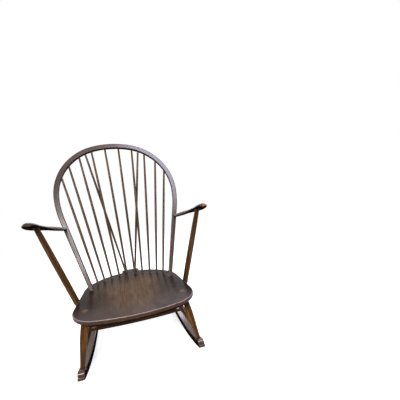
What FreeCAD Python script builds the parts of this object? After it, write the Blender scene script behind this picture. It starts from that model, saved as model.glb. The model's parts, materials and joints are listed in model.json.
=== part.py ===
"""Hoop back rocking chair, piece by piece, in millimetres.

The pieces are drawn in the seat's own frame: the origin lies on the seat's top surface, midway
between the two feet of the hoop, the front is towards -Y and +Z is square to the seat. At the end
the whole chair is leaned back to the angle at which it balances on its rockers, and moved so that
the origin is on the floor, under the middle of the chair. The right-hand side, as seen from the
front, is +X, and the left-hand pieces are its mirror images.
"""

import FreeCAD
import Part
import math
import os

from FreeCAD import Placement, Rotation, Vector

# General
glue_gap = 0.1                      # glue line left around every tenon, peg and wedge
overrun = 80.0                      # how far cutting tools reach past what they cut
edge_tolerance = 0.05               # how close an edge lies to the place where it is looked for
full_turn = 360.0

# Seat
seat_thickness = 36.0
seat_depth = 490.0                  # from the middle of the front to the middle of the rear
seat_half_width = 231.7             # at the hoop's feet
seat_side_splay = 7.7               # degrees, the sides open towards the front
seat_front_radius = 700.0
seat_rear_corner_radius = 120.0
seat_front_corner_radius = 110.0
seat_rim_radius = 5.0
seat_bevel = 20.0
dish_depth = 9.0
dish_half_width = 196.0
dish_half_length = 198.0
dish_behind_front = 236.0           # from the seat's front to the middle of the dish
thigh_depth = 6.0
thigh_half_spacing = 98.0
thigh_half_width = 94.0
thigh_length = 150.0                # from the seat's front back to the end of the hollow
dish_clearance = 0.3                # height of the cutting surface above the flat of the seat
dish_steps = 30
groove_radius = 1.6
groove_inset = 17.0                 # from the row of spindles forward to the groove
groove_half_angle = 60.0

# Row of spindles
spindle_row_radius = 232.0
spindle_row_setback = 137.0         # from the hoop's feet back to the middle of the row
spindle_row_margin = 30.0           # from the row back to the seat's rear edge
spindles_per_side = 5
spindle_seat_angle = 10.35          # degrees between neighbours, about the centre of the row
spindle_hoop_spacing = 71.0         # between neighbours, along the middle of the hoop
spindle_diameter = 12.6
spindle_end_diameter = 9.8
spindle_socket_depth = 22.0
spindle_swell_share = 0.42          # where along its length a spindle is thickest

# Hoop
hoop_recline = 24.1                 # degrees from square to the seat
hoop_foot_half_spacing = 194.4
hoop_half_width = 299.0
hoop_height = 745.5                 # along the leaning plane, from the seat to the crown
hoop_limb_splay = 14.0              # degrees
hoop_side_radius = 470.0
hoop_shoulder_share = 0.8615        # between the turns that leave the shoulder or the crown no radius
hoop_width = 25.0                   # seen from the front, from the arch down to the straight limb
hoop_foot_width = 21.0
hoop_thickness = 17.5
hoop_foot_thickness = 16.0
hoop_corner_radius = 4.0
hoop_tenon_diameter = 14.0

# Wedges
wedge_thickness = 3.0               # at the wide end
wedge_depth = 20.0

# Tail piece and its dowels
tail_width = 92.0
tail_projection = 34.0              # behind the seat's rear edge
tail_thickness = 28.0
tail_corner_radius = 16.0
tail_edge_radius = 3.0
tongue_width = 50.0
tongue_length = 12.0
tongue_thickness = 8.0
tongue_cover = 6.0                  # seat wood left above the tongue
tail_dowel_diameter = 6.0
tail_dowel_length = 26.0

# Brace sticks
brace_foot_half_spacing = 27.0
brace_foot_setback = 18.0           # from the seat's rear edge to the stick
brace_hoop_distance = 142.5         # from the crown, along the middle of the hoop
brace_diameter = 12.2
brace_end_diameter = 9.8
brace_socket_depth = 19.0

# Arms
arm_joint_height = 315.5            # along the leaning plane, from the seat
arm_reach = 374.5                   # from the hoop forward to the tip
arm_spread = 65.0                   # from the hoop's limb out to the middle of the grip
arm_rise = 96.0
arm_root_diameter = 14.0            # at the hoop
arm_neck_diameter = 20.0
arm_grip_width = 71.0
arm_grip_thickness = 15.0
arm_fullness = 0.7                  # how much squarer than an ellipse the grip's section is
arm_section_points = 16
arm_tenon_diameter = 10.0
arm_tenon_length = 28.0
arm_tenon_past_middle = 3.0         # behind the middle of the hoop's limb
# Shares, from the hoop to the tip: of the reach, the spread and the rise, how far the round
# section has gone from the root (0) to the neck (1), and how far it has gone from there to the
# full grip (1) in width and in thickness
arm_station_shares = (
    (0.000, 0.00, 0.000, 0.00, 0.00, 0.0),
    (0.085, 0.10, 0.080, 0.35, 0.00, 0.0),
    (0.186, 0.21, 0.185, 0.80, 0.00, 0.0),
    (0.345, 0.38, 0.336, 1.00, 0.00, 0.1),
    (0.425, 0.46, 0.414, 1.00, 0.03, 0.3),
    (0.470, 0.54, 0.462, 1.00, 0.16, 0.6),
    (0.505, 0.71, 0.497, 1.00, 0.52, 0.8),
    (0.545, 0.88, 0.543, 1.00, 0.86, 1.0),
    (0.595, 0.98, 0.600, 1.00, 1.00, 1.0),
    (0.665, 1.00, 0.678, 1.00, 0.96, 1.0),
    (0.745, 0.97, 0.757, 1.00, 0.84, 1.0),
    (0.825, 0.89, 0.834, 1.00, 0.76, 1.0),
    (0.900, 0.80, 0.907, 1.00, 0.62, 1.0),
    (0.950, 0.74, 0.953, 1.00, 0.44, 1.0),
    (0.985, 0.70, 0.985, 1.00, 0.28, 1.0),
    (1.000, 0.69, 1.000, 1.00, 0.10, 1.0),
    (1.000, 0.69, 1.000, 1.00, -0.16, 2.4),
)

# Arm stumps and their pegs
stump_foot_behind_front = 233.0     # from the seat's front to the stump
stump_foot_outset = 10.0            # from the seat's side edge out to the stump's axis
stump_foot_depth = 19.0             # below the seat's top
stump_top_behind_tip = 71.0         # from the arm's tip back to the stump
stump_top_inset = 15.5              # from the arm's inner edge out to the stump's axis
stump_foot_diameter = 26.0
stump_swell_diameter = 27.0
stump_top_diameter = 18.5
stump_swell_share = 0.3
stump_foot_chamfer = 2.0
stump_tenon_diameter = 12.0
stump_tenon_length = 30.0
stump_peg_diameter = 7.0
stump_peg_length = 46.0
stump_peg_depth = 11.5              # below the seat's top
stump_peg_height = 2.0              # outside the stump
stump_peg_rounding = 1.5

# Legs
leg_seat_end_diameter = 20.0
leg_shoulder_diameter = 24.0        # where it comes out of the seat
leg_swell_diameter = 30.0
leg_foot_diameter = 20.0
leg_swell_share = 0.42
leg_tenon_diameter = 14.0
leg_tenon_length = 20.0
front_leg_behind_front = 120.0      # from the seat's front to the leg's top
front_leg_half_spacing = 207.0
front_leg_foot_forward = 61.0       # from the top of the leg to its foot
rear_leg_behind_front = 365.0
rear_leg_half_spacing = 196.0
rear_leg_foot_back = 70.0           # from the top of the leg to its foot
rear_leg_cover = 12.0               # seat wood left above the rear leg

# Stretchers
stretcher_swell_diameter = 26.0
stretcher_end_diameter = 12.5
stretcher_swell_share = 0.5
stretcher_end_inset = 4.0           # short of the axis of what it enters
side_stretcher_front_drop = 176.0   # below the seat's top
side_stretcher_rear_drop = 156.0

# Rockers and their pegs
rocker_radius = 820.0
rocker_middle_behind_front = 243.0  # from the seat's front to the lowest point
rocker_drop = 273.0                 # from the seat's top to the lowest point
rocker_depth = 34.0
rocker_width = 28.0
rocker_front_length = 235.0         # from the lowest point to the front end
rocker_rear_length = 438.0
rocker_front_half_spacing = 248.0   # at the front legs
rocker_toe = 4.1                    # degrees, the rockers close towards the rear
rocker_lip_height = 13.0            # of the toe that stands out under the nose
rocker_lip_length = 5.5
rocker_nose_radius = 16.0
rocker_lip_radius = 2.5
rocker_nose_under_radius = 4.0
rocker_tail_radius = 9.0
rocker_edge_radius = 2.5
rocker_peg_diameter = 6.0
rocker_peg_depth = 10.0             # below the rocker's top

# Places in the seat's frame that follow from the sizes above
across = Vector(1, 0, 0)
back = Vector(0, 1, 0)
up = Vector(0, 0, 1)
row_centre_y = spindle_row_setback - spindle_row_radius
seat_rear_radius = spindle_row_radius + spindle_row_margin
seat_rear_y = spindle_row_setback + spindle_row_margin
seat_front_y = seat_rear_y - seat_depth
rocker_centre = Vector(0, seat_front_y + rocker_middle_behind_front, rocker_radius - rocker_drop)
rocker_top_radius = rocker_radius - rocker_depth


def mirrored(shape):
    return shape.mirror(Vector(0, 0, 0), across)


def both_sides(shapes):
    return list(shapes) + [mirrored(shape) for shape in shapes]


def one_solid(shape):
    """The single solid that a boolean step leaves."""
    solids = shape.removeSplitter().Solids
    if len(solids) != 1:
        raise ValueError("a piece came out as %d solids" % len(solids))
    return solids[0]


def unit(vector):
    return vector / vector.Length


def drop_to(start, end, height):
    """The point at a height on the line through two points."""
    return start + (end - start) * ((height - start.z) / (end.z - start.z))


def rod(start, end, diameter, gap=0.0):
    """A plain round rod between two points; a gap makes the bore that takes it."""
    direction = unit(end - start)
    length = (end - start).Length + 2 * gap
    return Part.makeCylinder(diameter / 2 + gap, length, start - direction * gap, direction)


def turned(start, toward, stations, gap=0.0, chamfer=0.0):
    """A turned rod; the stations are distances from the start with the diameters there."""
    points = [Vector(diameter / 2 + gap, 0, distance) for distance, diameter in stations]
    foot, top = points[0], points[-1]
    if chamfer > 0:
        points[0] = foot + up * chamfer
    corners = [points[-1], top + up * gap, Vector(0, 0, top.z + gap), Vector(0, 0, foot.z - gap),
               Vector(foot.x - chamfer, 0, foot.z - gap), points[0]]
    outline = Part.BSplineCurve()
    outline.interpolate(points)
    edges = [outline.toShape()]
    for first, second in zip(corners[:-1], corners[1:]):
        if first.distanceToPoint(second) > 0:
            edges.append(Part.LineSegment(first, second).toShape())
    solid = Part.Face(Part.Wire(edges)).revolve(Vector(0, 0, 0), up, full_turn)
    solid.Placement = Placement(start, Rotation(up, toward - start))
    return solid


def swelled(start, end, end_diameter, swell_diameter, swell_share, gap=0.0):
    """A turned stick that is thickest somewhere along its length."""
    length = (end - start).Length
    stations = ((0, end_diameter), (swell_share * length, swell_diameter), (length, end_diameter))
    return turned(start, end, stations, gap)


def half_space(shape, height, upper):
    """A block that covers a shape's plan, above or below a level plane."""
    box = shape.BoundBox
    low = height if upper else box.ZMin - overrun
    high = box.ZMax + overrun if upper else height
    corner = Vector(box.XMin - overrun, box.YMin - overrun, low)
    return Part.makeBox(box.XLength + 2 * overrun, box.YLength + 2 * overrun, high - low, corner)


def below(shape, height):
    return shape.common(half_space(shape, height, False))


def above(shape, height):
    return shape.common(half_space(shape, height, True))


# Seat

def seat_side_point(centre_y, radius, front):
    """Where the seat's straight side meets an arc about a point of the middle line."""
    splay = math.radians(seat_side_splay)
    half_sum = seat_half_width * math.sin(splay) + centre_y * math.cos(splay)
    rest = seat_half_width ** 2 + centre_y ** 2 - radius ** 2
    root = math.sqrt(half_sum ** 2 - rest)
    distance = -half_sum + (root if front else -root)
    return Vector(seat_half_width + distance * math.sin(splay), -distance * math.cos(splay), 0)


def upright_edges(board, corner):
    """The upright edges over a corner of the outline and over its mirror image."""
    found = []
    for edge in board.Edges:
        middle = edge.CenterOfMass
        apart = math.hypot(abs(middle.x) - corner.x, middle.y - corner.y)
        if apart < edge_tolerance:
            found.append(edge)
    return found


def level_edges(board, height):
    """The edges of a board at one height."""
    return [edge for edge in board.Edges
            if abs(edge.BoundBox.ZMin - height) + abs(edge.BoundBox.ZMax - height) < edge_tolerance]


def seat_board():
    """The board with its outline cut and its corners rounded, before shaping."""
    rear = seat_side_point(row_centre_y, seat_rear_radius, False)
    front = seat_side_point(seat_front_y + seat_front_radius, seat_front_radius, True)
    rear_left = Vector(-rear.x, rear.y, 0)
    front_left = Vector(-front.x, front.y, 0)
    edges = [
        Part.Arc(rear_left, Vector(0, seat_rear_y, 0), rear).toShape(),
        Part.LineSegment(rear, front).toShape(),
        Part.Arc(front, Vector(0, seat_front_y, 0), front_left).toShape(),
        Part.LineSegment(front_left, rear_left).toShape(),
    ]
    board = Part.Face(Part.Wire(edges)).extrude(-up * seat_thickness)
    board = board.makeFillet(seat_rear_corner_radius, upright_edges(board, rear))
    return board.makeFillet(seat_front_corner_radius, upright_edges(board, front))


def bump(x_share, y_share):
    """A smooth hill of height 1 that ends where the shares reach the unit circle."""
    distance = min(1, math.hypot(x_share, y_share))
    return math.cos(distance * math.pi / 2) ** 2


def dish_height(x, y):
    """Height of the hollowed surface, a little above the seat where it isn't hollowed."""
    dish_y = seat_front_y + dish_behind_front
    dish = dish_depth * bump(x / dish_half_width, (y - dish_y) / dish_half_length)
    thigh_x = (abs(x) - thigh_half_spacing) / thigh_half_width
    thigh = thigh_depth * bump(thigh_x, (y - seat_front_y) / thigh_length)
    return dish_clearance - dish - thigh


def dish_tool():
    """Everything above the hollowed surface."""
    half_width = seat_half_width + overrun
    rows = []
    for row in range(dish_steps + 1):
        y = seat_front_y - overrun + (seat_depth + 2 * overrun) * row / dish_steps
        line = []
        for column in range(dish_steps + 1):
            x = half_width * (2 * column / dish_steps - 1)
            line.append(Vector(x, y, dish_height(x, y)))
        rows.append(line)
    surface = Part.BSplineSurface()
    surface.interpolate(rows)
    return surface.toShape().extrude(up * overrun)


def groove_tool():
    """The shallow round groove in front of the spindles."""
    centre = Vector(0, row_centre_y, 0)
    middle = centre + back * (spindle_row_radius - groove_inset)
    section = Part.Face(Part.Wire(Part.Circle(middle, across, groove_radius).toShape()))
    section.rotate(centre, up, -groove_half_angle)
    return section.revolve(centre, up, 2 * groove_half_angle)


def seat():
    board = seat_board()
    board = board.makeChamfer(seat_bevel, level_edges(board, -seat_thickness))
    board = board.makeFillet(seat_rim_radius, level_edges(board, 0))
    board = board.cut(dish_tool()).cut(groove_tool())
    entering = [spindle(index, glue_gap) for index in range(spindles_per_side)]
    entering.append(hoop_tenon(glue_gap))
    entering.append(leg_turning(*front_leg_ends(), glue_gap))
    entering.append(below(leg_turning(*rear_leg_ends(), glue_gap), glue_gap - rear_leg_cover))
    entering.append(stump_turning(glue_gap))
    entering.append(stump_peg(glue_gap))
    entering.append(tail_dowel(glue_gap))
    return one_solid(board.cut(both_sides(entering) + [tongue(glue_gap)]))


# Hoop

def hoop_place(x, height):
    """A point of the hoop's leaning plane."""
    lean = math.radians(hoop_recline)
    return Vector(x, height * math.sin(lean), height * math.cos(lean))


def limb_length():
    """Length of the straight part of the hoop's limb."""
    splay = math.radians(hoop_limb_splay)
    widening = hoop_half_width - hoop_foot_half_spacing
    return (widening - hoop_side_radius * (1 - math.cos(splay))) / math.sin(splay)


def side_top():
    """Height at which the hoop's side stands upright in its plane."""
    splay = math.radians(hoop_limb_splay)
    return limb_length() * math.cos(splay) + hoop_side_radius * math.sin(splay)


def shoulder_turn():
    """Turn of the shoulder arc, between the least and the most at which both arcs bend inwards."""
    slope = math.atan2(hoop_height - side_top(), hoop_half_width)
    least = max(0, math.pi / 2 - 2 * slope)
    most = min(math.pi / 2, math.pi - 2 * slope)
    return least + (most - least) * hoop_shoulder_share


def arch_radii():
    """Radii of the shoulder arc and the crown arc that join without a kink."""
    turn = shoulder_turn()
    rise = hoop_height - side_top()
    share = math.sin(turn) + math.cos(turn) - 1
    shoulder = (rise * math.cos(turn) - hoop_half_width * (1 - math.sin(turn))) / share
    crown = (hoop_half_width * math.sin(turn) - rise * (1 - math.cos(turn))) / share
    return shoulder, crown


def crown_angle():
    """Angle from the crown to where the crown arc meets the shoulder arc."""
    return math.pi / 2 - shoulder_turn()


def arch_point(angle):
    """A point of the arch, by its angle in radians from the crown."""
    shoulder, crown = arch_radii()
    if angle < crown_angle():
        return hoop_place(crown * math.sin(angle), hoop_height - crown * (1 - math.cos(angle)))
    x = hoop_half_width - shoulder * (1 - math.sin(angle))
    return hoop_place(x, side_top() + shoulder * math.cos(angle))


def arch_point_at(distance):
    """A point of the arch, by its distance from the crown along the middle of the hoop."""
    shoulder, crown = arch_radii()
    if distance < crown * crown_angle():
        return arch_point(distance / crown)
    return arch_point(crown_angle() + (distance - crown * crown_angle()) / shoulder)


def side_point(angle):
    """A point of the side arc, by its angle in radians from upright."""
    x = hoop_half_width - hoop_side_radius * (1 - math.cos(angle))
    return hoop_place(x, side_top() - hoop_side_radius * math.sin(angle))


def limb_point(height):
    """A point of the hoop's limb, by its height along the leaning plane."""
    splay = math.radians(hoop_limb_splay)
    if height < limb_length() * math.cos(splay):
        return hoop_place(hoop_foot_half_spacing + height * math.tan(splay), height)
    return side_point(math.asin((side_top() - height) / hoop_side_radius))


def limb_direction():
    splay = math.radians(hoop_limb_splay)
    return unit(hoop_place(math.sin(splay), math.cos(splay)))


def rounded_rectangle(centre, first, second, width, height, radius):
    """A closed outline with round corners, spread along two directions."""
    signs = ((1, 1), (-1, 1), (-1, -1), (1, -1))
    centres = []
    for first_sign, second_sign in signs:
        inset = first * (first_sign * (width / 2 - radius))
        centres.append(centre + inset + second * (second_sign * (height / 2 - radius)))
    edges = []
    for index, (first_sign, second_sign) in enumerate(signs):
        side = first * (first_sign * radius)
        end = second * (second_sign * radius)
        corner = (side + end) * math.sqrt(1 / 2)
        start, finish = (side, end) if first_sign == second_sign else (end, side)
        middle = centres[index]
        following = centres[(index + 1) % len(centres)]
        edges.append(Part.Arc(middle + start, middle + corner, middle + finish).toShape())
        edges.append(Part.LineSegment(middle + finish, following + finish).toShape())
    return Part.Wire(edges)


def arch_path():
    """The middle line of the bent part of the hoop, from one limb over the crown to the other."""
    splay = math.radians(hoop_limb_splay)
    joint = arch_point(crown_angle())
    shoulder_middle = arch_point((math.pi / 2 + crown_angle()) / 2)
    right = [
        Part.Arc(side_point(splay), side_point(splay / 2), side_point(0)).toShape(),
        Part.Arc(side_point(0), shoulder_middle, joint).toShape(),
    ]
    crown = Part.Arc(joint, arch_point(0), Vector(-joint.x, joint.y, joint.z)).toShape()
    left = [mirrored(edge) for edge in right]
    return Part.Wire(Part.sortEdges(right + [crown] + left)[0])


def limb_section(distance, gap):
    """The outline of the limb at a distance along it from the seat; it tapers to the foot."""
    splay = math.radians(hoop_limb_splay)
    outward = unit(hoop_place(math.cos(splay), -math.sin(splay)))
    through = outward.cross(limb_direction())
    share = distance / limb_length()
    width = hoop_foot_width + (hoop_width - hoop_foot_width) * share
    thickness = hoop_foot_thickness + (hoop_thickness - hoop_foot_thickness) * share
    return rounded_rectangle(limb_point(0) + limb_direction() * distance, outward, through,
                             width + 2 * gap, thickness + 2 * gap, hoop_corner_radius + gap)


def hoop_bow(gap=0.0):
    """The bent bow, cut off level with the seat."""
    top = limb_section(limb_length(), gap)
    limb = Part.makeLoft([limb_section(-hoop_foot_width, gap), top], True, True)
    arch = arch_path().makePipeShell([top], True, False)
    return above(arch.fuse(both_sides([limb])), 0)


def hoop_tenon(gap=0.0):
    """The round tenon of the hoop's foot, right through the seat."""
    top = limb_point(0) + limb_direction() * hoop_tenon_diameter
    return rod(limb_point(0) - limb_direction() * overrun, top, hoop_tenon_diameter, gap)


def hoop_wedge(gap=0.0):
    """The wedge in the end of the hoop's tenon, driven from below."""
    end = drop_to(limb_point(0), limb_point(0) + limb_direction(), -seat_thickness)
    driven = wedge(end, -limb_direction(), hoop_tenon_diameter, gap)
    return above(driven.common(hoop_tenon()), -seat_thickness)


def hoop():
    tenons = [above(tenon, -seat_thickness) for tenon in both_sides([hoop_tenon()])]
    entering = [spindle(index, glue_gap) for index in range(spindles_per_side)]
    entering.append(brace(glue_gap))
    entering.append(arm_tenon(glue_gap))
    entering.append(hoop_wedge(glue_gap))
    return one_solid(hoop_bow().fuse(tenons).cut(both_sides(entering)))


def wedge(place, outward, tenon_diameter, gap=0.0):
    """A wedge driven into the end of a tenon, thin end first, and wider than the tenon."""
    half = wedge_thickness / 2 + gap
    corners = [Vector(0, half, tenon_diameter), Vector(0, -half, tenon_diameter),
               Vector(0, 0, -wedge_depth - gap)]
    outline = Part.makePolygon(corners + corners[:1])
    blade = Part.Face(outline).extrude(across * (2 * tenon_diameter))
    blade.translate(-across * tenon_diameter)
    blade.Placement = Placement(place, Rotation(up, outward)) * blade.Placement
    return blade


# Spindles and brace sticks

def spindle(index, gap=0.0):
    """One back spindle of the right-hand half, counted from the middle."""
    angle = math.radians(spindle_seat_angle * (index + 1 / 2))
    row_y = row_centre_y + spindle_row_radius * math.cos(angle)
    seat_point = Vector(spindle_row_radius * math.sin(angle), row_y, 0)
    top = arch_point_at(spindle_hoop_spacing * (index + 1 / 2))
    foot = drop_to(seat_point, top, -spindle_socket_depth)
    return swelled(foot, top, spindle_end_diameter, spindle_diameter, spindle_swell_share, gap)


def brace_foot():
    return Vector(brace_foot_half_spacing, seat_rear_y + brace_foot_setback, 0)


def brace(gap=0.0):
    top = arch_point_at(brace_hoop_distance)
    foot = drop_to(brace_foot(), top, -brace_socket_depth)
    return swelled(foot, top, brace_end_diameter, brace_diameter, spindle_swell_share, gap)


# Tail piece

def tongue(gap=0.0):
    """The tongue that holds the tail piece in the seat's rear edge."""
    corner = Vector(-tongue_width / 2 - gap, seat_rear_y - tongue_length - gap,
                    -tongue_cover - tongue_thickness - gap)
    length = tongue_length + brace_foot_setback
    return Part.makeBox(tongue_width + 2 * gap, length, tongue_thickness + 2 * gap, corner)


def tail_dowel(gap=0.0):
    x = (tail_width + tongue_width) / 4
    z = -tongue_cover - tongue_thickness / 2
    middle = Vector(x, seat_rear_y, z)
    half = back * (tail_dowel_length / 2)
    return rod(middle - half, middle + half, tail_dowel_diameter, gap)


def tail_piece():
    front_y = spindle_row_setback
    rear_y = seat_rear_y + tail_projection
    corner = Vector(-tail_width / 2, front_y, -tail_thickness)
    block = Part.makeBox(tail_width, rear_y - front_y, tail_thickness, corner)
    rear_corner = Vector(tail_width / 2, rear_y, 0)
    block = block.makeFillet(tail_corner_radius, upright_edges(block, rear_corner))
    rims = level_edges(block, 0) + level_edges(block, -tail_thickness)
    block = block.makeFillet(tail_edge_radius, rims)
    round_edge = Part.makeCylinder(seat_rear_radius, tail_thickness + 2 * overrun,
                                   Vector(0, row_centre_y, -tail_thickness - overrun))
    body = block.cut(round_edge).fuse(tongue())
    return one_solid(body.cut(both_sides([brace(glue_gap), tail_dowel(glue_gap)])))


# Arms

def arm_station(index):
    """Middle, half width, half thickness and section exponent of one station of the arm."""
    reach, spread, rise, swelling, widening, thinning = arm_station_shares[index]
    middle = limb_point(arm_joint_height)
    middle += Vector(arm_spread * spread, -arm_reach * reach, arm_rise * rise)
    neck = arm_root_diameter + (arm_neck_diameter - arm_root_diameter) * swelling
    width = neck + (arm_grip_width - neck) * widening
    thickness = neck + (arm_grip_thickness - neck) * thinning
    return middle, width / 2, thickness / 2, 2 + arm_fullness * max(0, widening)


def arm_outline(index, gap):
    """The ring of points that pulls the arm's surface at one station, in an upright plane."""
    middle, half_width, half_thickness, exponent = arm_station(index)
    pull = 3 / (2 + math.cos(2 * math.pi / arm_section_points))
    points = []
    for step in range(arm_section_points):
        angle = 2 * math.pi * step / arm_section_points
        x_share = math.copysign(abs(math.cos(angle)) ** (2 / exponent), math.cos(angle))
        z_share = math.copysign(abs(math.sin(angle)) ** (2 / exponent), math.sin(angle))
        offset = Vector((half_width + gap) * x_share, 0, (half_thickness + gap) * z_share)
        points.append(middle + offset * pull)
    return points


def arm_blank(gap=0.0):
    """The smooth arm from the middle of the hoop's limb to the tip of the grip."""
    rings = [arm_outline(index, gap) for index in range(len(arm_station_shares))]
    degree = 3
    spans = len(rings) - degree
    ends = [degree + 1]
    surface = Part.BSplineSurface()
    surface.buildFromPolesMultsKnots(
        rings, ends + [1] * (spans - 1) + ends, [1] * (arm_section_points + 1),
        list(range(spans + 1)), list(range(arm_section_points + 1)), False, True, degree, degree)
    side = surface.toShape()
    caps = [Part.Face(Part.Wire(edge)) for edge in side.Edges
            if edge.BoundBox.YLength < edge_tolerance]
    skin = Part.Compound([side] + caps)
    skin.sewShape()
    return Part.Solid(skin.Shells[0])


def arm_tenon(gap=0.0):
    joint = limb_point(arm_joint_height)
    forward = unit(arm_station(1)[0] - joint)
    start = joint - forward * arm_tenon_past_middle
    return rod(start, start + forward * arm_tenon_length, arm_tenon_diameter, gap)


def arm():
    body = arm_blank().cut(hoop_bow(glue_gap)).fuse(arm_tenon())
    return one_solid(body.cut(stump_tenon(glue_gap)))


# Arm stumps

def stump_top():
    """Where the stump's axis meets the middle surface of the arm."""
    stations = [arm_station(index) for index in range(len(arm_station_shares))]
    y = stations[-1][0].y + stump_top_behind_tip
    beyond = [station[0].y < y for station in stations].index(True)
    near, near_half_width = stations[beyond - 1][:2]
    far, far_half_width = stations[beyond][:2]
    share = (near.y - y) / (near.y - far.y)
    half_width = near_half_width + (far_half_width - near_half_width) * share
    return near + (far - near) * share - across * (half_width - stump_top_inset)


def stump_ends():
    """Ends of the stump's axis: its foot beside the seat and its top in the arm."""
    y = seat_front_y + stump_foot_behind_front
    side_x = seat_half_width - y * math.tan(math.radians(seat_side_splay))
    top = stump_top()
    return drop_to(Vector(side_x + stump_foot_outset, y, 0), top, -stump_foot_depth), top


def stump_turning(gap=0.0):
    foot, top = stump_ends()
    length = (top - foot).Length
    stations = ((0, stump_foot_diameter), (stump_swell_share * length, stump_swell_diameter),
                (length, stump_top_diameter))
    return turned(foot, top, stations, gap, stump_foot_chamfer)


def stump_tenon(gap=0.0):
    foot, top = stump_ends()
    return rod(top - unit(top - foot) * stump_tenon_length, top, stump_tenon_diameter, gap)


def stump_peg(gap=0.0):
    """The peg through the stump's foot into the seat."""
    foot, top = stump_ends()
    axis = drop_to(foot, top, -stump_peg_depth)
    outer = axis + across * (stump_foot_diameter / 2 + stump_peg_height)
    return rod(outer - across * stump_peg_length, outer, stump_peg_diameter, gap)


def finished_stump_peg():
    """The peg with the rounded end that stands out of the stump."""
    peg = stump_peg()
    outer = [edge for edge in peg.Edges if edge.BoundBox.XMin > peg.BoundBox.XMax - edge_tolerance]
    return peg.makeFillet(stump_peg_rounding, outer)


def stump():
    body = stump_turning().cut(arm_blank(glue_gap)).fuse(stump_tenon())
    return one_solid(body.cut(stump_peg(glue_gap)))


# Legs

def rocker_place(radius, y):
    """A point in the rocker's middle plane, by its distance from the centre of the arcs."""
    foot_y = seat_front_y + front_leg_behind_front - front_leg_foot_forward
    x = rocker_front_half_spacing - (y - foot_y) * math.tan(math.radians(rocker_toe))
    z = rocker_centre.z - math.sqrt(radius ** 2 - (y - rocker_centre.y) ** 2)
    return Vector(x, y, z)


def front_leg_ends():
    top = Vector(front_leg_half_spacing, seat_front_y + front_leg_behind_front, 0)
    return top, rocker_place(rocker_top_radius, top.y - front_leg_foot_forward)


def rear_leg_ends():
    top = Vector(rear_leg_half_spacing, seat_front_y + rear_leg_behind_front, 0)
    return top, rocker_place(rocker_top_radius, top.y + rear_leg_foot_back)


def leg_turning(top, foot, gap=0.0):
    """The turned leg, longer at both ends than the finished one."""
    length = (foot - top).Length
    shoulder = length * seat_thickness / (top.z - foot.z)
    stations = ((-leg_foot_diameter, leg_seat_end_diameter), (0, leg_seat_end_diameter),
                (shoulder, leg_shoulder_diameter), (leg_swell_share * length, leg_swell_diameter),
                (length, leg_foot_diameter), (length + leg_foot_diameter, leg_foot_diameter))
    return turned(top, foot, stations, gap)


def leg_tenon(top, foot, gap=0.0):
    """The tenon of the leg's foot in the rocker."""
    down = unit(foot - top)
    return rod(foot - down * leg_tenon_length, foot + down * leg_tenon_length,
               leg_tenon_diameter, gap)


def standing_on_rocker(turning):
    """A leg with its foot cut to the curve of the rocker's top."""
    start = Vector(-overrun, rocker_centre.y, rocker_centre.z)
    end = start + across * (rocker_front_half_spacing + 2 * overrun)
    return turning.common(rod(start, end, 2 * (rocker_top_radius - glue_gap)))


def leg_wedge(gap=0.0):
    """The wedge in the top of the front leg."""
    top, foot = front_leg_ends()
    driven = wedge(top, unit(top - foot), leg_seat_end_diameter, gap)
    return below(driven.common(leg_turning(top, foot)), 0)


def leg_front():
    ends = front_leg_ends()
    body = below(standing_on_rocker(leg_turning(*ends)), 0).fuse(leg_tenon(*ends))
    return one_solid(body.cut([side_stretcher(glue_gap), leg_wedge(glue_gap),
                               rocker_peg(ends[1].y, glue_gap)]))


def leg_rear():
    ends = rear_leg_ends()
    body = below(standing_on_rocker(leg_turning(*ends)), -rear_leg_cover).fuse(leg_tenon(*ends))
    return one_solid(body.cut([side_stretcher(glue_gap), rocker_peg(ends[1].y, glue_gap)]))


# Stretchers

def stretcher(start, end, gap):
    """A stretcher between two axes, ending a little short of both."""
    inset = unit(end - start) * stretcher_end_inset
    return swelled(start + inset, end - inset, stretcher_end_diameter,
                   stretcher_swell_diameter, stretcher_swell_share, gap)


def side_stretcher_ends():
    return (drop_to(*front_leg_ends(), -side_stretcher_front_drop),
            drop_to(*rear_leg_ends(), -side_stretcher_rear_drop))


def side_stretcher(gap=0.0):
    front, rear = side_stretcher_ends()
    return stretcher(front, rear, gap)


def cross_stretcher(gap=0.0):
    front, rear = side_stretcher_ends()
    middle = (front + rear) / 2
    return stretcher(Vector(-middle.x, middle.y, middle.z), middle, gap)


# Rockers

def rocker_slab():
    """The upright slab that holds the right-hand rocker, turned by its toe."""
    foot = front_leg_ends()[1]
    length = rocker_front_length + rocker_rear_length + 2 * overrun
    corner = Vector(foot.x - rocker_width / 2, foot.y - overrun, -rocker_drop - overrun)
    slab = Part.makeBox(rocker_width, length, rocker_radius, corner)
    slab.rotate(foot, up, rocker_toe)
    return slab


def on_arc(point, distance):
    """A point moved to the rear about the centre of the rocker's arcs."""
    spoke = point - Vector(0, rocker_centre.y, rocker_centre.z)
    turn = Rotation(across, math.degrees(distance / spoke.Length))
    return point - spoke + turn.multVec(spoke)


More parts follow.
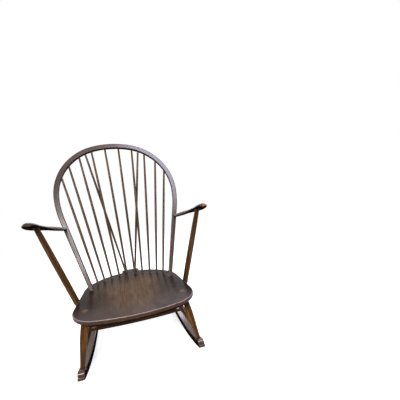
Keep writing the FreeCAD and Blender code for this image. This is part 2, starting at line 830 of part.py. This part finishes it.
def rocker_blank():
    """The rocker's curved side view, as wide as the chair."""
    low = rocker_centre.y - rocker_front_length
    high = rocker_centre.y + rocker_rear_length
    corners = []
    for y in (low, rocker_centre.y, high):
        outer = rocker_place(rocker_radius, y)
        spoke = Vector(0, outer.y - rocker_centre.y, outer.z - rocker_centre.z)
        inner = rocker_centre + spoke * (rocker_top_radius / rocker_radius)
        corners.append((Vector(0, outer.y, outer.z), inner))
    (front, front_top), (bottom, bottom_top), (rear, rear_top) = corners
    lip_top = front + unit(front_top - front) * rocker_lip_height
    lip_end = on_arc(lip_top, rocker_lip_length)
    front_top = on_arc(front_top, rocker_lip_length)
    edges = [
        Part.Arc(front, bottom, rear).toShape(),
        Part.LineSegment(rear, rear_top).toShape(),
        Part.Arc(rear_top, bottom_top, front_top).toShape(),
        Part.LineSegment(front_top, lip_end).toShape(),
        Part.LineSegment(lip_end, lip_top).toShape(),
        Part.LineSegment(lip_top, front).toShape(),
    ]
    blank = Part.Face(Part.Wire(edges)).extrude(across * (rocker_front_half_spacing + overrun))
    rounds = ((front_top, rocker_nose_radius), (front, rocker_nose_under_radius),
              (lip_top, rocker_lip_radius),
              (rear, rocker_tail_radius), (rear_top, rocker_tail_radius))
    for corner, radius in rounds:
        blank = blank.makeFillet(radius, cross_edges(blank, corner))
    return blank


def cross_edges(blank, corner):
    """The edges that run across the chair through a point of the side view."""
    found = []
    for edge in blank.Edges:
        middle = edge.CenterOfMass
        apart = math.hypot(middle.y - corner.y, middle.z - corner.z)
        if apart < edge_tolerance and edge.BoundBox.XLength > rocker_width:
            found.append(edge)
    return found


def rocker_peg(y, gap=0.0):
    """The cross peg through the rocker and the leg's tenon at one foot."""
    outer = rocker_place(rocker_top_radius, y)
    spoke = unit(Vector(0, outer.y - rocker_centre.y, outer.z - rocker_centre.z))
    middle = outer + spoke * rocker_peg_depth
    half = across * rocker_width
    return rod(middle - half, middle + half, rocker_peg_diameter, gap)


def rocker():
    body = one_solid(rocker_blank().common(rocker_slab()))
    long_edges = [edge for edge in body.Edges
                  if edge.BoundBox.YLength + edge.BoundBox.ZLength > rocker_edge_radius]
    body = body.makeFillet(rocker_edge_radius, long_edges)
    entering = []
    for ends in (front_leg_ends(), rear_leg_ends()):
        entering.append(leg_tenon(*ends, glue_gap))
        entering.append(rocker_peg(ends[1].y, glue_gap))
    return one_solid(body.cut(entering))


def finished_rocker_peg(ends):
    """A rocker peg, cut off flush with both sides of the rocker."""
    return rocker_peg(ends[1].y).common(rocker_slab())


# The whole chair

def group(shapes):
    return Part.Compound([solid for shape in shapes for solid in shape.Solids])


def pieces():
    """Every piece by its name, in the seat's frame."""
    chair = {"seat": seat(), "tail_piece": tail_piece(), "hoop": hoop()}
    for index in range(spindles_per_side):
        stick = spindle(index)
        chair["back_spindle_%02d" % (spindles_per_side + 1 + index)] = stick
        chair["back_spindle_%02d" % (spindles_per_side - index)] = mirrored(stick)
    pairs = {
        "brace_stick": brace(),
        "arm": arm(),
        "arm_stump": stump(),
        "leg_front": leg_front(),
        "leg_rear": leg_rear(),
        "side_stretcher": side_stretcher().cut(cross_stretcher(glue_gap)),
        "rocker": rocker(),
    }
    for name, piece in pairs.items():
        chair[name + "_right"] = piece
        chair[name + "_left"] = mirrored(piece)
    chair["cross_stretcher"] = cross_stretcher()
    chair["leg_wedges"] = group(both_sides([leg_wedge()]))
    chair["hoop_wedges"] = group(both_sides([hoop_wedge()]))
    chair["stump_pegs"] = group(both_sides([finished_stump_peg()]))
    chair["tail_dowels"] = group(both_sides([tail_dowel()]))
    pegs = [finished_rocker_peg(ends) for ends in (front_leg_ends(), rear_leg_ends())]
    chair["rocker_pegs"] = group(both_sides(pegs))
    return chair


def mass_centre(shapes):
    """Centre of mass of all the pieces, which are of one kind of wood."""
    total = 0
    moment = Vector(0, 0, 0)
    for shape in shapes:
        for solid in shape.Solids:
            total += solid.Volume
            moment += solid.CenterOfMass * solid.Volume
    return moment / total


def rest_tilt(shapes):
    """Degrees by which the chair leans back when its mass is over the rockers' lowest line."""
    centre = mass_centre(shapes)
    return math.degrees(math.atan2(centre.y - rocker_centre.y, rocker_centre.z - centre.z))


def set_on_floor(chair):
    """Leans every piece back to the rest tilt and moves the origin under the chair."""
    tilt = rest_tilt(chair.values())
    for shape in chair.values():
        shape.rotate(rocker_centre, across, -tilt)
    box = Part.Compound(list(chair.values())).optimalBoundingBox()
    middle_y = (box.YMin + box.YMax) / 2
    floor_z = rocker_centre.z - rocker_radius
    for shape in chair.values():
        shape.translate(Vector(0, -middle_y, -floor_z))
    return tilt


def main():
    chair = pieces()
    tilt = set_on_floor(chair)
    print("rest tilt %.2f degrees" % tilt)
    os.makedirs("parts", exist_ok=True)
    for name, shape in chair.items():
        shape.exportStep("parts/%s.step" % name)


main()
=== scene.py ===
"""Looks of the hoop back rocking chair: stained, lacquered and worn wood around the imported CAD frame.

Everything is in metres, in the frame of the CAD model: the floor is z = 0, the front of the chair
is towards -Y. Each piece keeps its CAD shape and gets its own wood, with the grain laid along it.
"""

import json
import math

import bpy
import numpy as np
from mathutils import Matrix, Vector

# Camera, fitted to the photograph
IMAGE_SIDE = 400                                  # pixels
SENSOR_WIDTH = 36.0                               # mm
FOCAL_PIXELS = 253.8
OPTICAL_CENTRE = (196.96, 242.10)                 # pixels from the left and from the top
CAMERA_PLACE = Vector((-0.0153, -1.21388, 0.8862))
CAMERA_TURN = (69.941, 2.689, -18.079)            # degrees

# Light
LAMPS = (
    # name, place, diameter, power in watts, linear colour
    ("sky", (0.65, -1.22, 2.85), 1.2, 66.0, (0.74, 0.76, 1.0)),
    ("key", (-0.80, -2.00, 2.15), 0.9, 44.0, (1.0, 0.95, 0.92)),
    ("rear", (0.65, 2.4, 2.2), 1.0, 24.0, (0.88, 0.86, 1.0)),
)
LAMP_TARGET = Vector((0, 0, 0.45))
WHITE = (1, 1, 1, 1)
FULL_WHITE = 1.0                                  # strength at which white shows as plain white
SKY_COLOUR = (0.80, 0.82, 0.90, 1)
GROUND_COLOUR = (0.10, 0.09, 0.08, 1)
HORIZON = (-0.25, 0.45)                           # ray heights between the ground and the full sky
WORLD_STRENGTH = 0.42

# Floor
FLOOR_SIDE = 14.0
FLOOR_MIDDLE = (0.0, 0.0)
FLOOR_GREY = (0.14, 0.13, 0.12, 1)
FLOOR_GLOW = 0.72                                 # share of the floor's white that takes no shadow
FLOOR_FADE = (0.75, 2.0)                          # from here to here the floor's shadows fade

# The hoop: a round arch on two limbs that close in, in a plane that leans back
HOOP_LEAN = math.radians(28.6)                    # from upright
HOOP_FRONT = (0, -math.cos(HOOP_LEAN), math.sin(HOOP_LEAN))
ARCH_CENTRE = Vector((0, 0.2098, 0.6874))
ARCH_RADIUS = 0.29                                # turns angles round the arch into lengths
LIMB_START = 0.055                                # this far below the arch's centre they close in
LIMB_SLOPE = 0.249                                # inwards per length downwards

# How the wood's textures are drawn: scales are along and twice across the grain, per metre,
# and limits are the values between which an effect comes in
FIBRE_SCALE = (26.0, 950.0, 950.0)
FIBRE_LIMITS = (0.35, 0.65)
PORE_SCALE = (55.0, 1500.0, 1500.0)
PORE_LIMITS = (0.60, 0.72)
TONE_STOPS = (0.32, 0.49, 0.66)                   # tones of the dark, middle and light stain
EDGE_LIMITS = (0.02, 0.18)                        # how far the rounded normal leaves the flat one
PATCH_SCALE = (28.0, 60.0, 60.0)
PATCH_LIMITS = (0.40, 0.62)
CORNER_REACH = 0.014                              # painted shade darkens corners where another face is this near
CORNER_LIMITS = (0.15, 0.8)
CLOUD_ROUGHNESS = 0.12
FIBRE_ROUGHNESS = 0.06
DULL_ROUGHNESS = 0.4                              # added where the lacquer has gone dull
FIBRE_HEIGHT = 0.6                                # of the fibres, against the depth of the pores
BUMP_DEPTH = 0.0003
LACQUER_IOR = 1.45


def srgb(red, green, blue):
    """A colour given in 0 to 255, as linear values with full alpha."""
    linear = []
    for value in (red, green, blue):
        share = value / 255
        linear.append(share / 12.92 if share <= 0.04045 else ((share + 0.055) / 1.055) ** 2.4)
    return (*linear, 1.0)


PORE = srgb(20, 14, 11)
# colour of the painted shade in corners where pieces meet
CORNER_SHADE_COLOUR = srgb(12, 9, 8)

# Looks: three stain colours and the colour of worn edges, which on the seat's rim is partly a painted
# highlight and on the hoop painted shade; scales of the clouds and streaks; the clouds' share in the
# tone; strengths of the grain, the worn edges, the shine, the clear coat, the bump and the painted
# corner shade; the radius within which an edge wears; the roughness of the lacquer and of its coat;
# and the heights of the normal between which the lacquer goes from dull to glossy
STAIN = dict(dark=srgb(30, 20, 15), middle=srgb(54, 38, 28), light=srgb(80, 58, 42),
             edge=srgb(130, 96, 66), clouds=(3.0, 14.0, 14.0), streaks=(8.0, 230.0, 230.0),
             cloudiness=0.5, grain=0.3, wear=0.4, wear_radius=0.004, roughness=0.10, shine=0.06,
             coat=0.03, coat_roughness=0.08, bump=0.1, corner_shade=0.8, dull=(-0.7, 0.1))
# the seat's pale edge colour and strong wear also paint a highlight along its rim
SEAT = dict(STAIN, dark=srgb(22, 15, 12), middle=srgb(36, 25, 20), light=srgb(56, 40, 30),
            edge=srgb(150, 122, 104), clouds=(4.0, 9.0, 9.0), streaks=(5.0, 70.0, 70.0),
            cloudiness=0.7, grain=0.2, wear=0.8, wear_radius=0.010, roughness=0.16, shine=0.08,
            dull=(-0.4, 0.2))
# the hoop's edge colour is darker than its stain: painted shade along its rounded edges
BOW = dict(STAIN, dark=srgb(52, 38, 31), middle=srgb(76, 59, 49), light=srgb(100, 81, 68),
           edge=srgb(60, 40, 26), streaks=(6.0, 180.0, 180.0), grain=0.1, bump=0.02,
           roughness=0.14, shine=0.36, wear=0.2)
SPINDLE = dict(STAIN, dark=srgb(34, 22, 13), middle=srgb(80, 58, 37), light=srgb(134, 102, 68),
               edge=srgb(130, 100, 74), grain=0.15, bump=0.03, wear=0.1, shine=0.16,
               coat=0.08)
ARM = dict(STAIN, dark=srgb(34, 23, 13), middle=srgb(62, 45, 28), light=srgb(92, 70, 44),
           edge=srgb(150, 104, 66), grain=0.2, bump=0.04, roughness=0.06, shine=0.5, coat=0.5,
           wear=0.3, dull=(-0.6, 0.3))
TURNED = dict(STAIN, dark=srgb(36, 19, 6), middle=srgb(106, 67, 25), light=srgb(196, 136, 66),
              edge=srgb(160, 112, 60), streaks=(5.0, 130.0, 130.0), cloudiness=0.4, wear=0.15)
STUMP = dict(TURNED, dark=srgb(46, 27, 11), middle=srgb(90, 59, 28), light=srgb(134, 95, 52))
ROCKER = dict(STAIN, dark=srgb(46, 32, 22), middle=srgb(82, 61, 44), light=srgb(120, 94, 70),
              edge=srgb(136, 104, 74), streaks=(6.0, 170.0, 170.0), shine=0.5, coat=0.1, wear=0.5,
              dull=(0.1, 0.7))
PEG = dict(STAIN, dark=srgb(84, 58, 34), middle=srgb(116, 84, 54), light=srgb(146, 112, 76),
           edge=srgb(150, 116, 80), wear=0.2)
LOOKS = {"seat_wood": SEAT, "bow_wood": BOW, "spindle_wood": SPINDLE, "arm_wood": ARM,
         "turned_wood": TURNED, "rocker_wood": ROCKER, "peg_wood": PEG}
SEAT_GRAIN = Vector((0, 1, 0))                    # the seat's board runs from front to rear

# The seat's worn middle, drawn out along Y, with a ragged outline
WORN_SEAT = srgb(118, 90, 60)
SEAT_MIDDLE = (0.0, -0.12)
WORN_ASPECT = 0.75
WORN_REACH = (0.22, 0.03)
WORN_RAGGED = 0.20
WORN_CLOUD_SCALE = (9.0, 5.0, 5.0)
WORN_STREAK_SCALE = (260.0, 14.0, 14.0)
WORN_STREAK_LIMITS = (0.10, 0.70)
WORN_SHARE = 0.70

# The seat's rear band behind its groove, darkened as a painted reflection, and its front, lightened as
# a painted sheen
PAINTED_REAR_REFLECTION = srgb(24, 23, 22)
GROOVE_CENTRE = (0.0, -0.070)
GROOVE_RADIUS = 0.2135
GROOVE_WIDTH = 0.004
BAND_START = (0.0, 0.03)                          # Y between which the band comes in
REAR_REFLECTION_SHARE = 0.65
PAINTED_FRONT_SHEEN = srgb(108, 95, 86)
FRONT_START = (-0.14, -0.31)                      # Y between which the painted sheen comes in
FRONT_CLOUDS = (0.2, 0.6)
FRONT_SHEEN_SHARE = 0.34

# The seat's edge: warmer brown on its upright faces and a painted highlight line on its rim; upright
# and rim are limits of the normal's height
SEAT_EDGE = srgb(78, 52, 34)
UPRIGHT_LIMITS = (0.3, 0.8)
UPRIGHT_SHARE = 0.8
PAINTED_RIM_HIGHLIGHT = srgb(176, 158, 150)
RIM_LOWER = (0.50, 0.72)
RIM_UPPER = (0.975, 0.93)
RIM_HIGHLIGHT_SHARE = 0.6

# Painted shade on the hoop's inner and outer sides and on the rockers' flat sides: limits are of how
# closely a face looks along the hoop's front direction, or sideways
HOOP_SIDE_SHADE = srgb(18, 12, 9)
HOOP_SHADE_LIMITS = (0.995, 0.80)
SIDEWAYS = (1, 0, 0)
ROCKER_FLANK_SHADE = srgb(30, 22, 16)
ROCKER_SHADE_LIMITS = (0.5, 0.95)
SIDE_SHADE_SHARE = 0.9

# The worn tip of the right arm, as seen in the photograph
# its lighter orange is worn bare wood and also a painted glint
TIP_WEAR_AND_GLINT = srgb(184, 118, 72)
TIP_SCALE = (90.0, 90.0, 90.0)
TIP_RAGGED = 0.012
TIP_REACH = (0.026, 0.016)
TIP_SHARE = 0.85

# The front legs' upper ends in the seat
END_GRAIN = srgb(112, 82, 50)
END_GRAIN_DARK = srgb(70, 48, 30)
END_SCALE = (420.0, 160.0, 160.0)
END_LIMITS = (0.35, 0.65)
LEG_END_HEIGHT = (0.272, 0.273)                   # above this a front leg is the tenon's end


class Graph:
    """A short way to add nodes and links to one node tree."""

    def __init__(self, tree):
        self.tree = tree
        tree.nodes.clear()

    def put(self, socket, value):
        """Links a socket to another one, or sets its value."""
        if isinstance(value, bpy.types.NodeSocket):
            self.tree.links.new(value, socket)
        else:
            socket.default_value = value

    def add(self, kind, inputs=None, **settings):
        node = self.tree.nodes.new(kind)
        for name, value in settings.items():
            setattr(node, name, value)
        for name, value in (inputs or {}).items():
            self.put(node.inputs[name], value)
        return node

    def math(self, operation, first, second=0.0):
        return self.add("ShaderNodeMath", {0: first, 1: second}, operation=operation).outputs[0]

    def plus(self, first, second):
        return self.math("ADD", first, second)

    def minus(self, first, second):
        return self.math("SUBTRACT", first, second)

    def times(self, first, second):
        return self.math("MULTIPLY", first, second)

    def mix(self, share, first, second):
        """A colour between two colours."""
        node = self.add("ShaderNodeMix", data_type="RGBA")
        factor, colour_a, colour_b, result = 0, 6, 7, 2   # the node's sockets for colours
        self.put(node.inputs[factor], share)
        self.put(node.inputs[colour_a], first)
        self.put(node.inputs[colour_b], second)
        return node.outputs[result]

    def noise(self, place, scale, detail=3.0, roughness=0.55, distortion=0.0):
        """Noise from 0 to 1, with a scale for each direction."""
        vector = self.add("ShaderNodeVectorMath", {0: place, 1: scale}, operation="MULTIPLY")
        node = self.add("ShaderNodeTexNoise", {
            "Vector": vector.outputs[0], "Scale": 1.0, "Detail": detail,
            "Roughness": roughness, "Distortion": distortion})
        return node.outputs["Fac"]

    def place(self):
        """Where a point of the chair is, in the model's own frame."""
        return self.add("ShaderNodeTexCoord").outputs["Object"]

    def normal(self):
        return self.add("ShaderNodeNewGeometry").outputs["Normal"]

    def dot(self, first, second):
        node = self.add("ShaderNodeVectorMath", {0: first, 1: second}, operation="DOT_PRODUCT")
        return node.outputs["Value"]

    def turned(self, place, middle, rotation):
        """A place as seen from a frame that has its own middle and rotation."""
        node = self.add("ShaderNodeMapping", {"Vector": place, "Location": middle,
                                              "Rotation": rotation}, vector_type="TEXTURE")
        return node.outputs[0]

    def split(self, place):
        node = self.add("ShaderNodeSeparateXYZ", {0: place})
        return node.outputs["X"], node.outputs["Y"], node.outputs["Z"]

    def join(self, x, y, z):
        return self.add("ShaderNodeCombineXYZ", {"X": x, "Y": y, "Z": z}).outputs[0]

    def length(self, x, y):
        return self.math("SQRT", self.plus(self.times(x, x), self.times(y, y)))

    def distance(self, x, y, middle, aspect=1.0):
        """Distance in plan from a point, with differences along Y multiplied by the aspect."""
        return self.length(self.minus(x, middle[0]), self.times(self.minus(y, middle[1]), aspect))

    def band(self, value, low, high):
        """0 at low, 1 at high and smooth between; low may be the larger of the two."""
        node = self.add("ShaderNodeMapRange", {"Value": value, "From Min": low, "From Max": high},
                        interpolation_type="SMOOTHSTEP")
        return node.outputs["Result"]

    def ramp(self, value, positions, colours):
        """A colour that follows a value through three colours."""
        node = self.add("ShaderNodeValToRGB", {"Fac": value})
        elements = node.color_ramp.elements
        elements.new(positions[1])
        for element, position, colour in zip(elements, positions, colours):
            element.position = position
            element.color = colour
        return node.outputs["Color"]


# Grain directions

def vertices(obj):
    """All the points of a piece's mesh, one in each row."""
    flat = np.empty(len(obj.data.vertices) * 3, np.float32)
    obj.data.vertices.foreach_get("co", flat)
    return flat.reshape(-1, 3).astype(float)


def long_axis(obj):
    """Middle of a piece and the direction in which it is longest, upwards."""
    points = vertices(obj)
    middle = points.mean(0)
    spread = np.cov((points - middle).T)
    direction = np.linalg.eigh(spread)[1][:, -1]
    if direction[2] < 0:
        direction = -direction
    return Vector(middle), Vector(direction)


def straight_grain(graph, middle, direction):
    """Coordinates whose X runs along the grain of a straight piece."""
    return graph.turned(graph.place(), middle, direction.to_track_quat("X", "Z").to_euler())


def bent_grain(graph):
    """Coordinates whose X runs along the bent hoop, round its arch and down its limbs."""
    local = graph.turned(graph.place(), ARCH_CENTRE, (math.pi / 2 - HOOP_LEAN, 0, 0))
    x, y, z = graph.split(local)
    above = graph.math("MAXIMUM", y, 0.0)
    below = graph.math("MAXIMUM", graph.times(y, -1.0), 0.0)
    closing = graph.math("MAXIMUM", graph.minus(below, LIMB_START), 0.0)
    radius = graph.plus(graph.length(x, above), graph.times(closing, LIMB_SLOPE))
    round_arch = graph.times(graph.math("ARCTAN2", x, above), ARCH_RADIUS)
    down_limb = graph.times(graph.math("SIGN", x), below)
    return graph.join(graph.plus(round_arch, down_limb), radius, z)


# Woods

def grain_colour(graph, local, look):
    """Stain in clouds, streaks and fibres along the grain, with open pores."""
    clouds = graph.noise(local, look["clouds"])
    streaks = graph.noise(local, look["streaks"], detail=4.0, roughness=0.6, distortion=0.4)
    fibres = graph.noise(local, FIBRE_SCALE, detail=2.0, roughness=0.5)
    pores = graph.noise(local, PORE_SCALE, detail=1.0, roughness=0.4)
    tone = graph.plus(graph.times(clouds, look["cloudiness"]),
                      graph.times(streaks, 1.0 - look["cloudiness"]))
    colour = graph.ramp(tone, TONE_STOPS, (look["dark"], look["middle"], look["light"]))
    fibre = graph.times(graph.band(fibres, *FIBRE_LIMITS), look["grain"])
    colour = graph.mix(fibre, colour, look["dark"])
    pore = graph.band(pores, *PORE_LIMITS)
    return graph.mix(graph.times(pore, look["grain"]), colour, PORE), clouds, fibres, pore


def edge_wear_and_painted_light(graph, local, colour, look):
    """Patchy edge colour where edges stand out: lighter wear on most pieces, partly a painted highlight
    on the seat's rim, and darker painted shade on the hoop.
    """
    rounded = graph.add("ShaderNodeBevel", {"Radius": look["wear_radius"]}, samples=4).outputs[0]
    edge = graph.band(graph.minus(1.0, graph.dot(rounded, graph.normal())), *EDGE_LIMITS)
    patches = graph.noise(local, PATCH_SCALE, detail=4.0, roughness=0.65)
    wear = graph.times(edge, graph.band(patches, *PATCH_LIMITS))
    return graph.mix(graph.times(wear, look["wear"]), colour, look["edge"])


def painted_corner_shade(graph, colour, amount):
    """Painted shade: darker colour where another face is near, as ambient occlusion finds it."""
    open_share = graph.add("ShaderNodeAmbientOcclusion", {"Distance": CORNER_REACH},
                           samples=6).outputs["AO"]
    closed = graph.band(graph.minus(1.0, open_share), *CORNER_LIMITS)
    return graph.mix(graph.times(closed, amount), colour, CORNER_SHADE_COLOUR)


def finish_wood(graph, colour, clouds, fibres, pore, look):
    """Lacquer that shines where it is rubbed and stays dull on faces that look down."""
    lacquer = graph.band(graph.split(graph.normal())[2], *look["dull"])
    rough = graph.plus(graph.times(clouds, CLOUD_ROUGHNESS), graph.times(fibres, FIBRE_ROUGHNESS))
    rough = graph.plus(rough, look["roughness"])
    rough = graph.plus(rough, graph.times(graph.minus(1.0, lacquer), DULL_ROUGHNESS))
    height = graph.minus(graph.times(fibres, FIBRE_HEIGHT), pore)
    bump = graph.add("ShaderNodeBump", {"Height": height, "Strength": look["bump"],
                                        "Distance": BUMP_DEPTH})
    shader = graph.add("ShaderNodeBsdfPrincipled", {
        "Base Color": colour, "Roughness": rough, "Normal": bump.outputs[0], "IOR": LACQUER_IOR,
        "Specular IOR Level": graph.times(lacquer, look["shine"]),
        "Coat Weight": graph.times(lacquer, look["coat"]),
        "Coat Roughness": look["coat_roughness"]})
    graph.add("ShaderNodeOutputMaterial", {"Surface": shader.outputs[0]})


def seat_wear_reflection_and_sheen(graph, colour):
    """The seat's polished golden middle, a painted dark reflection on its rear band and a painted pale
    sheen on its front.
    """
    place = graph.place()
    x, y, _ = graph.split(place)
    cloud = graph.noise(place, WORN_CLOUD_SCALE, detail=4.0, roughness=0.6)
    reach = graph.plus(graph.distance(x, y, SEAT_MIDDLE, WORN_ASPECT),
                       graph.times(graph.minus(0.5, cloud), WORN_RAGGED))
    streak = graph.noise(place, WORN_STREAK_SCALE)
    worn = graph.times(graph.band(reach, *WORN_REACH), graph.band(streak, *WORN_STREAK_LIMITS))
    colour = graph.mix(graph.times(worn, WORN_SHARE), colour, WORN_SEAT)
    # painted reflection: darker grey on the band behind the groove
    behind = graph.band(graph.distance(x, y, GROOVE_CENTRE),
                        GROOVE_RADIUS, GROOVE_RADIUS + GROOVE_WIDTH)
    behind = graph.times(behind, graph.band(y, *BAND_START))
    colour = graph.mix(graph.times(behind, REAR_REFLECTION_SHARE), colour, PAINTED_REAR_REFLECTION)
    # painted sheen: paler towards the seat's front edge
    front = graph.times(graph.band(y, *FRONT_START), graph.band(cloud, *FRONT_CLOUDS))
    return graph.mix(graph.times(front, FRONT_SHEEN_SHARE), colour, PAINTED_FRONT_SHEEN)


def seat_edge_and_rim_highlight(graph, colour):
    """Warmer brown round the seat's upright edge and a painted pale highlight line on its rim."""
    up = graph.split(graph.normal())[2]
    upright = graph.band(graph.minus(1.0, graph.math("ABSOLUTE", up)), *UPRIGHT_LIMITS)
    colour = graph.mix(graph.times(upright, UPRIGHT_SHARE), colour, SEAT_EDGE)
    # painted highlight along the rounded rim
    rim = graph.times(graph.band(up, *RIM_LOWER), graph.band(up, *RIM_UPPER))
    return graph.mix(graph.times(rim, RIM_HIGHLIGHT_SHARE), colour, PAINTED_RIM_HIGHLIGHT)


def shaded_sides(graph, colour, direction, limits, dark):
    """Painted shade: darker colour by how closely a face looks along a direction, either way."""
    along = graph.math("ABSOLUTE", graph.dot(graph.normal(), direction))
    return graph.mix(graph.times(graph.band(along, *limits), SIDE_SHADE_SHARE), colour, dark)


def worn_tip_and_glint(graph, colour, tip):
    """Bare orange wood at the outer front tip of a grip, where the lacquer is gone, also standing as a
    painted glint.
    """
    place = graph.place()
    away = graph.add("ShaderNodeVectorMath", {0: place, 1: tip}, operation="DISTANCE")
    ragged = graph.times(graph.noise(place, TIP_SCALE), TIP_RAGGED)
    worn = graph.band(graph.plus(away.outputs["Value"], ragged), *TIP_REACH)
    return graph.mix(graph.times(worn, TIP_SHARE), colour, TIP_WEAR_AND_GLINT)


def tenon_end(graph, colour):
    """Bare end grain where a front leg comes up through the seat."""
    place = graph.place()
    rings = graph.noise(place, END_SCALE, roughness=0.6)
    end = graph.mix(graph.band(rings, *END_LIMITS), END_GRAIN, END_GRAIN_DARK)
    return graph.mix(graph.band(graph.split(place)[2], *LEG_END_HEIGHT), colour, end)


def wood(node, slot, obj):
    """The material of one piece: the wood of its slot, with what only this piece shows."""
    look = STUMP if node.startswith("arm_stump") else LOOKS[slot]
    material = bpy.data.materials.new(node + "_wood")
    material.use_nodes = True
    graph = Graph(material.node_tree)
    if node == "hoop":
        local = bent_grain(graph)
    else:
        middle, direction = long_axis(obj)
        local = straight_grain(graph, middle, SEAT_GRAIN if node == "seat" else direction)
    colour, clouds, fibres, pore = grain_colour(graph, local, look)
    if node == "seat":
        # the seat gets its worn middle, a painted reflection on its rear band, a painted sheen on its
        # front and a painted highlight on its rim
        colour = seat_edge_and_rim_highlight(graph, seat_wear_reflection_and_sheen(graph, colour))
    elif node == "hoop":
        # painted shade on the hoop's inner and outer sides
        colour = shaded_sides(graph, colour, HOOP_FRONT, HOOP_SHADE_LIMITS, HOOP_SIDE_SHADE)
    elif node == "arm_right":
        points = vertices(obj)
        outer_front = (points[:, 0] - points[:, 1]).argmax()
        # worn bare wood at the tip, also a painted glint
        colour = worn_tip_and_glint(graph, colour, Vector(points[outer_front]))
    elif node.startswith("rocker"):
        # painted shade on the rockers' flat sides
        colour = shaded_sides(graph, colour, SIDEWAYS, ROCKER_SHADE_LIMITS, ROCKER_FLANK_SHADE)
    elif node.startswith("leg_front"):
        colour = tenon_end(graph, colour)
    # edge colour: wear, with a painted highlight on the seat's rim and painted shade on the hoop's
    # edges
    colour = edge_wear_and_painted_light(graph, local, colour, look)
    # painted shade in corners where another face is near
    colour = painted_corner_shade(graph, colour, look["corner_shade"])
    finish_wood(graph, colour, clouds, fibres, pore, look)
    return material


def dress(frame):
    """Gives every CAD piece the wood of its record slot, with the grain along the piece."""
    slots = {entry["node"]: entry["material_slot"] for entry in frame["record"]["subparts"]}
    for node, obj in frame["nodes"].items():
        material = wood(node, slots[node], obj)
        obj.data.materials.clear()
        obj.data.materials.append(material)


# Stage

def make_lamps():
    """Round lamps that all look at the middle of the chair."""
    for name, place, diameter, power, colour in LAMPS:
        data = bpy.data.lights.new(name, "AREA")
        data.shape = "DISK"
        data.size = diameter
        data.energy = power
        data.color = colour
        lamp = bpy.data.objects.new(name, data)
        lamp.location = place
        lamp.rotation_euler = (LAMP_TARGET - lamp.location).to_track_quat("-Z", "Y").to_euler()
        bpy.context.scene.collection.objects.link(lamp)


def background_rays(graph):
    """1 for the rays that show the white background: camera, gloss and transmission."""
    rays = graph.add("ShaderNodeLightPath").outputs
    shown = graph.math("MAXIMUM", rays["Is Camera Ray"], rays["Is Glossy Ray"])
    return graph.math("MAXIMUM", shown, rays["Is Transmission Ray"])


def split_by_ray(graph, other, background):
    """One shader for the background's rays and another one for all the rest."""
    node = graph.add("ShaderNodeMixShader", {0: background_rays(graph), 1: other.outputs[0],
                                             2: background.outputs[0]})
    return node.outputs[0]


def make_world():
    """Soft sky above and dim ground below; camera and gloss rays see plain white."""
    world = bpy.data.worlds.new("soft_studio")
    world.use_nodes = True
    bpy.context.scene.world = world
    graph = Graph(world.node_tree)
    direction = graph.add("ShaderNodeTexCoord").outputs["Generated"]
    above = graph.band(graph.split(direction)[2], *HORIZON)
    colour = graph.mix(above, GROUND_COLOUR, SKY_COLOUR)
    seen = graph.add("ShaderNodeBackground", {"Color": WHITE, "Strength": FULL_WHITE})
    light = graph.add("ShaderNodeBackground", {"Color": colour, "Strength": WORLD_STRENGTH})
    graph.add("ShaderNodeOutputWorld", {"Surface": split_by_ray(graph, light, seen)})


def make_floor():
    """A level floor: white to the camera with the chair's soft shadow, dim as a reflector."""
    half = FLOOR_SIDE / 2
    mesh = bpy.data.meshes.new("floor")
    corners = [(-half, -half, 0), (half, -half, 0), (half, half, 0), (-half, half, 0)]
    mesh.from_pydata(corners, [], [(0, 1, 2, 3)])
    floor = bpy.data.objects.new("floor", mesh)
    bpy.context.scene.collection.objects.link(floor)
    material = bpy.data.materials.new("floor")
    material.use_nodes = True
    graph = Graph(material.node_tree)
    x, y, _ = graph.split(graph.place())
    far = graph.band(graph.distance(x, y, FLOOR_MIDDLE), *FLOOR_FADE)
    glow = graph.add("ShaderNodeEmission", {"Color": WHITE, "Strength": FLOOR_GLOW})
    full = graph.add("ShaderNodeEmission", {"Color": WHITE, "Strength": FULL_WHITE})
    lit = graph.add("ShaderNodeBsdfDiffuse", {"Color": WHITE})
    near = graph.add("ShaderNodeAddShader", {0: glow.outputs[0], 1: lit.outputs[0]})
    white = graph.add("ShaderNodeMixShader", {0: far, 1: near.outputs[0], 2: full.outputs[0]})
    dim = graph.add("ShaderNodeBsdfDiffuse", {"Color": FLOOR_GREY})
    graph.add("ShaderNodeOutputMaterial", {"Surface": split_by_ray(graph, dim, white)})
    mesh.materials.append(material)


def make_camera():
    """A pinhole camera that shows the chair from the photograph's point of view."""
    data = bpy.data.cameras.new("camera")
    data.sensor_width = SENSOR_WIDTH
    data.lens = FOCAL_PIXELS / IMAGE_SIDE * SENSOR_WIDTH
    data.shift_x = (IMAGE_SIDE / 2 - OPTICAL_CENTRE[0]) / IMAGE_SIDE
    data.shift_y = (OPTICAL_CENTRE[1] - IMAGE_SIDE / 2) / IMAGE_SIDE
    camera = bpy.data.objects.new("camera", data)
    camera.location = CAMERA_PLACE
    camera.rotation_euler = [math.radians(angle) for angle in CAMERA_TURN]
    bpy.context.scene.collection.objects.link(camera)
    bpy.context.scene.camera = camera


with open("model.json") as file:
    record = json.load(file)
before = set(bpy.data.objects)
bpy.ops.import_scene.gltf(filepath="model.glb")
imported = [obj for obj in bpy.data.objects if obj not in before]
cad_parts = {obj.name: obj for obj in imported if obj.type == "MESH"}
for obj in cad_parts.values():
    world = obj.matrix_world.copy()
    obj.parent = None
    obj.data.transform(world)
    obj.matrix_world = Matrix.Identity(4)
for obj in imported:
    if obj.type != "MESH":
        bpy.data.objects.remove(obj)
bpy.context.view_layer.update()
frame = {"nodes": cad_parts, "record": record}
bpy.context.scene.view_settings.view_transform = "Standard"
dress(frame)
make_world()
make_lamps()
make_floor()
make_camera()
